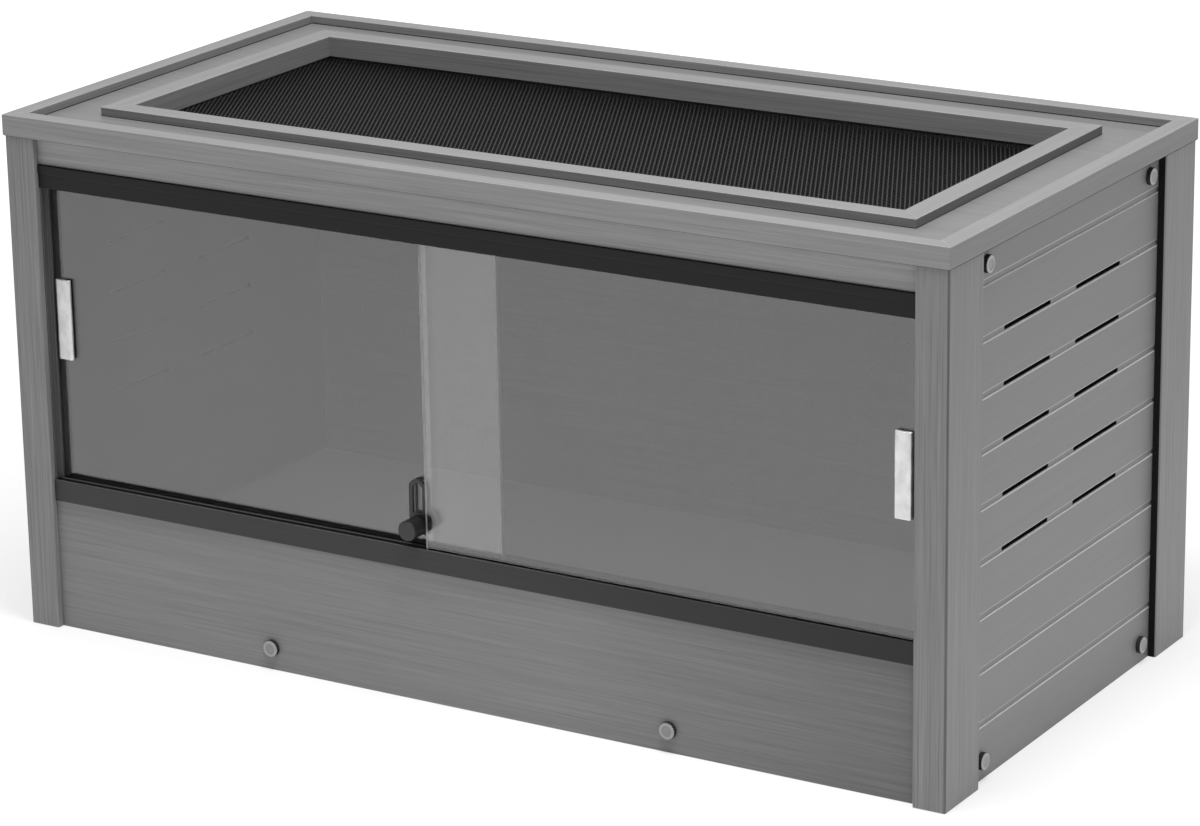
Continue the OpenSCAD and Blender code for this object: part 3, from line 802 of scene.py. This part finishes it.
def modelHead(thickness):
    steps = thumbScrew["stepsPerLobe"]
    radius = thumbScrew["headDia"] / 2 * mm
    sides = thumbScrew["lobes"] * steps
    bpy.ops.mesh.primitive_circle_add(vertices=sides, radius=radius, fill_type="NGON", location=(0, 0, 0))
    head = bpy.context.active_object
    startEdit(head)
    bpy.ops.mesh.select_all(action="SELECT")
    bpy.ops.mesh.extrude_region_move(TRANSFORM_OT_translate={"value": (0, 0, thickness)})
    bpy.ops.mesh.select_mode(type="EDGE")
    selectEdges(head, lambda a, b: near(a.z, thickness) and near(b.z, thickness))
    bevelSelected(thumbScrew["rimRound"], thumbScrew["rimSteps"])
    bpy.ops.mesh.select_mode(type="FACE")
    selectFaces(head, lambda middle, normal: near(middle.z, thickness) and normal.z > facing)
    bpy.ops.mesh.inset(thickness=thumbScrew["rimWidth"] * mm)
    bpy.ops.mesh.inset(thickness=thumbScrew["dishRound"] * mm, depth=-thumbScrew["dish"] * mm)

    # the scallops: vertices on the rim, one in every few, pulled towards the middle
    depth = thumbScrew["scallop"] * mm / radius
    easedDepth = depth / thumbScrew["scallopEase"]
    rimStart = radius - thumbScrew["rimReach"] * thumbScrew["rimRound"] * mm

    def onRim(place, wantedSteps):
        turn = math.degrees(math.atan2(place.y, place.x)) % 360
        return math.hypot(place.x, place.y) > rimStart and round(turn * sides / 360) % steps in wantedSteps

    bpy.ops.mesh.select_mode(type="VERT")
    selectVertices(head, lambda place: onRim(place, (steps // 2,)))
    bpy.ops.transform.resize(value=(1 - depth, 1 - depth, 1), center_override=(0, 0, 0))
    selectVertices(head, lambda place: onRim(place, (steps // 2 - 1, steps // 2 + 1)))
    bpy.ops.transform.resize(value=(1 - easedDepth, 1 - easedDepth, 1), center_override=(0, 0, 0))
    endEdit()
    recalculateNormals(head)
    return head


def modelShank(length):
    bpy.ops.mesh.primitive_cylinder_add(
        vertices=thumbScrew["shankSides"], radius=thumbScrew["shankDia"] / 2 * mm, depth=length,
        location=(0, 0, -length / 2))
    shank = bpy.context.active_object
    bakePlace(shank)
    startEdit(shank, "EDGE")
    selectEdges(shank, lambda a, b: near(a.z, -length) and near(b.z, -length))
    bevelSelected(thumbScrew["tipRound"], thumbScrew["tipSteps"])
    endEdit()
    return shank


def modelScrew(headThickness, shankLength):
    rimFoot = headThickness - thumbScrew["rimRound"] * mm
    dishStart = thumbScrew["headDia"] / 2 * mm - thumbScrew["rimWidth"] * mm

    def onFace(middle, normal):
        return middle.z > rimFoot and normal.z > thumbScrew["faceLean"]

    def inDish(middle, normal):
        return middle.z > headThickness / 2 and math.hypot(middle.x, middle.y) < dishStart

    screw = modelHead(headThickness)
    joinAll([screw, modelShank(shankLength)])
    screw.data.materials.append(screwSide)
    repaintFaces(screw, onFace, screwFace)
    repaintFaces(screw, inDish, screwDish)
    repaintFaces(screw, lambda middle, normal: middle.z < 0, platedSteel)
    smoothRounds(screw, thumbScrew["flatArea"], thumbScrew["smoothUnder"])
    return screw


def screwPlaces(node):
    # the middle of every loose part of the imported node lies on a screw's axis
    group = copyPart(node)
    startEdit(group)
    bpy.ops.mesh.select_all(action="SELECT")
    bpy.ops.mesh.separate(type="LOOSE")
    endEdit()
    places = []
    for part in list(bpy.context.selected_objects):
        corners = [Vector(corner) for corner in part.bound_box]
        places.append(sum(corners, Vector()) / len(corners))
        bpy.data.objects.remove(part)
    return sorted(places, key=lambda place: (round(place.x, 4), round(place.y, 4), round(place.z, 4)))


def modelScrews(node, board, outward):
    axis = [abs(part) for part in outward].index(1)
    end = 1 if outward[axis] > 0 else 0
    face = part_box(board)[end][axis]
    headThickness = abs(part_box(node)[end][axis] - face)
    shankLength = abs(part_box(node)[1 - end][axis] - face)
    places = screwPlaces(node)
    screw = modelScrew(headThickness, shankLength)
    turn = Vector((0, 0, 1)).rotation_difference(Vector(outward)).to_matrix().to_4x4()
    copies = []
    for number, place in enumerate(places):
        place[axis] = face
        part = bpy.data.objects.new("screwCopy", screw.data.copy())
        bpy.context.scene.collection.objects.link(part)
        spin = Matrix.Rotation(math.radians(thumbScrew["spin"] * number), 4, "Z")
        part.data.transform(Matrix.Translation(place) @ turn @ spin)
        copies.append(part)
    bpy.data.objects.remove(screw)
    joinAll(copies)
    piece = copies[0]
    nameAs(piece, pieceName(node))
    settle(piece, node)


modelScrews("thumb_screws_front", "lower_board", (0, -1, 0))
modelScrews("thumb_screws_back", "back_panel", (0, 1, 0))
modelScrews("thumb_screws_left", "side_panel_left", (-1, 0, 0))
modelScrews("thumb_screws_right", "side_panel_right", (1, 0, 0))
print("thumb screws modelled")


# screen: a diamond mesh, strands leaning to the left over others that lean to the right, which are painted
# darker as painted shade
screenMesh = {
    "lean": 26.565, "spacing": 4.52,            # degrees from the depth, and mm along the width
    "strandWidth": 1.4, "underWidth": 2.3, "underSink": 0.18,
    "crown": 0.3, "crownSteps": 2,
    "spareLength": 8, "spareStrands": 3,        # trimmed away at the edges
    "backShare": 0.42,                          # painted shade: it darkens to the back, and most near the frame
    "frameReach": 26, "frameFade": 6, "frameShare": 0.25}


def strandRow(lean, width, height, middle, size):
    # one long strand through the middle, leaned from the depth and repeated along the width
    angle = math.radians(lean)
    length = size.y / math.cos(angle) + screenMesh["spareLength"] * mm
    spacing = screenMesh["spacing"] * mm
    count = int((size.x + size.y * abs(math.tan(angle))) / spacing) + screenMesh["spareStrands"]
    bpy.ops.mesh.primitive_cube_add(size=1, location=(0, 0, 0), scale=(width, length, height))
    row = bpy.context.active_object
    bakePlace(row)
    startEdit(row, "EDGE")
    selectEdges(row, lambda a, b: near(a.z, height / 2) and near(b.z, height / 2) and near(a.x, b.x))
    bevelSelected(screenMesh["crown"], screenMesh["crownSteps"])
    endEdit()
    row.rotation_euler = (0, 0, angle)
    row.location = (middle.x - spacing * (count - 1) / 2, middle.y, middle.z)
    bakePlace(row)
    array = row.modifiers.new("row", "ARRAY")
    array.use_relative_offset = False
    array.use_constant_offset = True
    array.constant_offset_displace = (spacing, 0, 0)
    array.count = count
    applyModifiers(row)
    return row


def trimRow(row, low, high):
    cuts = [((low.x, 0, 0), (-1, 0, 0)), ((high.x, 0, 0), (1, 0, 0)),
            ((0, low.y, 0), (0, -1, 0)), ((0, high.y, 0), (0, 1, 0))]
    startEdit(row)
    for place, outward in cuts:
        bpy.ops.mesh.select_all(action="SELECT")
        bpy.ops.mesh.bisect(plane_co=place, plane_no=outward, use_fill=True, clear_outer=True)
    endEdit()
    recalculateNormals(row)


def modelScreen():
    low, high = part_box("screen")
    middle = (low + high) / 2
    size = high - low
    underHeight = size.z - 2 * screenMesh["underSink"] * mm
    upper = strandRow(screenMesh["lean"], screenMesh["strandWidth"] * mm, size.z, middle, size)
    lower = strandRow(-screenMesh["lean"], screenMesh["underWidth"] * mm, underHeight, middle, size)
    shadeStart = high.y - screenMesh["frameReach"] * mm
    shadeEnd = shadeStart + screenMesh["frameFade"] * mm
    for row, finish in ((upper, strandWire), (lower, underStrandShaded)):
        trimRow(row, low, high)
        row.data.materials.append(finish)
        fadeColour(finish, "Y", low.y, shadeStart, screenMesh["backShare"])
        fadeColour(finish, "Y", shadeStart, shadeEnd, screenMesh["frameShare"])
    joinAll([upper, lower])
    nameAs(upper, "screenMesh")
    pick(upper)
    bpy.ops.object.shade_smooth_by_angle(angle=math.radians(smoothUnder))
    settle(upper, "screen")


modelScreen()
print("screen made")


# floor and surroundings
studio = {
    "bounceTone": 0.95, "seenTone": 0.35,       # the floor as it lights the object, and as the camera sees it
    "nearGlow": 0.62, "farGlow": 1.0,           # lift it to white for the camera, by the object and far off
    "shinyGlow": 0.92,                          # and in reflections
    "nearReach": 0.9, "farReach": 3.2,          # metres from the object's middle
    "grain": (3, 3, 3), "grainDetail": 2.0, "grainShare": (0.98, 1.02), "rough": 0.9,
    "floorHalf": 30.0, "floorDrop": 0.2,        # metres, and mm
    "backdrop": 1.0, "ambient": 0.3}


def seenStraight(tree):
    # 1 for camera rays and for what they meet behind glass
    path = tree.nodes.new("ShaderNodeLightPath")
    return combine(tree, "MAXIMUM", path.outputs["Is Camera Ray"], path.outputs["Is Transmission Ray"])


def seenInShine(tree):
    path = tree.nodes.new("ShaderNodeLightPath")
    return path.outputs["Is Glossy Ray"]


def layFloor():
    bpy.ops.mesh.primitive_plane_add(size=2 * studio["floorHalf"], location=(0, 0, -studio["floorDrop"] * mm))
    floor = bpy.context.active_object
    floor.name = "floor"
    bakePlace(floor)
    material, tree, shader = newMaterial("paleFloor")
    noise = stretchedNoise(tree, studio["grain"], studio["grainDetail"])
    grain = mapRange(tree, noise, *studio["grainShare"])
    tone = mapRange(tree, seenStraight(tree), studio["bounceTone"], studio["seenTone"], 0.0, 1.0)
    colour = rampColour(tree, combine(tree, "MULTIPLY", tone, grain), 0.0, 1.0)
    tree.links.new(colour, shader.inputs["Base Color"])
    shader.inputs["Roughness"].default_value = studio["rough"]
    shader.inputs["Specular IOR Level"].default_value = 0.0
    shader.inputs["Emission Color"].default_value = (1, 1, 1, 1)
    place = tree.nodes.new("ShaderNodeTexCoord")
    reach = tree.nodes.new("ShaderNodeVectorMath")
    reach.operation = "LENGTH"
    tree.links.new(place.outputs["Object"], reach.inputs[0])
    glow = mapRange(tree, reach.outputs["Value"], studio["nearGlow"], studio["farGlow"],
                    studio["nearReach"], studio["farReach"])
    seenGlow = combine(tree, "MULTIPLY", seenStraight(tree), glow)
    shinyGlow = combine(tree, "MULTIPLY", seenInShine(tree), studio["shinyGlow"])
    tree.links.new(combine(tree, "MAXIMUM", seenGlow, shinyGlow), shader.inputs["Emission Strength"])
    floor.data.materials.append(material)


def lightWorld():
    world = bpy.data.worlds.new("studioWorld")
    world.use_nodes = True
    tree = world.node_tree
    background = tree.nodes["Background"]
    background.inputs["Color"].default_value = (1, 1, 1, 1)
    seen = combine(tree, "MAXIMUM", seenStraight(tree), seenInShine(tree))
    strength = mapRange(tree, seen, studio["ambient"], studio["backdrop"], 0.0, 1.0)
    tree.links.new(strength, background.inputs["Strength"])
    bpy.context.scene.world = world


layFloor()
lightWorld()


# lamps: direction from the cabinet's middle as azimuth and elevation, level on a face turned to the lamp
lampAim = Vector((0, 0, 0.25))
lamps = {
    "topLamp": {"azimuth": 30, "elevation": 82, "distance": 8.0, "size": 5.5, "level": 0.84},
    "nearLamp": {"azimuth": 45, "elevation": 70, "distance": 1.85, "size": 0.5, "level": 0.47}}


def directionOf(azimuth, elevation):
    # in degrees; azimuth 0 is straight in front, and grows to the right
    turn = math.radians(azimuth)
    rise = math.radians(elevation)
    return Vector((math.sin(turn) * math.cos(rise), -math.cos(turn) * math.cos(rise), math.sin(rise)))


def hangLamp(name, lamp):
    outward = directionOf(lamp["azimuth"], lamp["elevation"])
    light = bpy.data.lights.new(name, "AREA")
    light.shape = "DISK"
    light.size = lamp["size"]
    light.energy = lamp["level"] * (math.pi * lamp["distance"]) ** 2
    holder = bpy.data.objects.new(name, light)
    holder.location = lampAim + outward * lamp["distance"]
    holder.rotation_euler = outward.to_track_quat("Z", "Y").to_euler()
    bpy.context.scene.collection.objects.link(holder)


for name, lamp in lamps.items():
    hangLamp(name, lamp)
print("studio lit")


# camera at the photograph's angle: angles in degrees, distances and target in metres, the sensor in mm,
# the focal length and the image's width in the photograph's pixels
viewpoint = {
    "azimuth": 31.4638, "elevation": 17.626, "roll": -0.9458, "distance": 4.14552,
    "target": (0.0595, -0.09497, 0.255), "focalPixels": 4477.7, "imageWidth": 1200, "sensor": 36,
    "farEnd": 100}


def placeCamera():
    back = directionOf(viewpoint["azimuth"], viewpoint["elevation"])
    roll = math.radians(viewpoint["roll"])
    level = (-back).cross(Vector((0, 0, 1))).normalized()
    upright = level.cross(-back)
    right = level * math.cos(roll) + upright * math.sin(roll)
    up = upright * math.cos(roll) - level * math.sin(roll)
    lens = bpy.data.cameras.new("camera")
    lens.sensor_width = viewpoint["sensor"]
    lens.lens = viewpoint["sensor"] * viewpoint["focalPixels"] / viewpoint["imageWidth"]
    lens.clip_end = viewpoint["farEnd"]
    holder = bpy.data.objects.new("camera", lens)
    turn = Matrix((right, up, back)).transposed().to_4x4()
    place = Vector(viewpoint["target"]) + back * viewpoint["distance"]
    holder.matrix_world = Matrix.Translation(place) @ turn
    bpy.context.scene.collection.objects.link(holder)
    bpy.context.scene.camera = holder


placeCamera()
bpy.context.scene.view_settings.view_transform = "Standard"

print("scene ready")
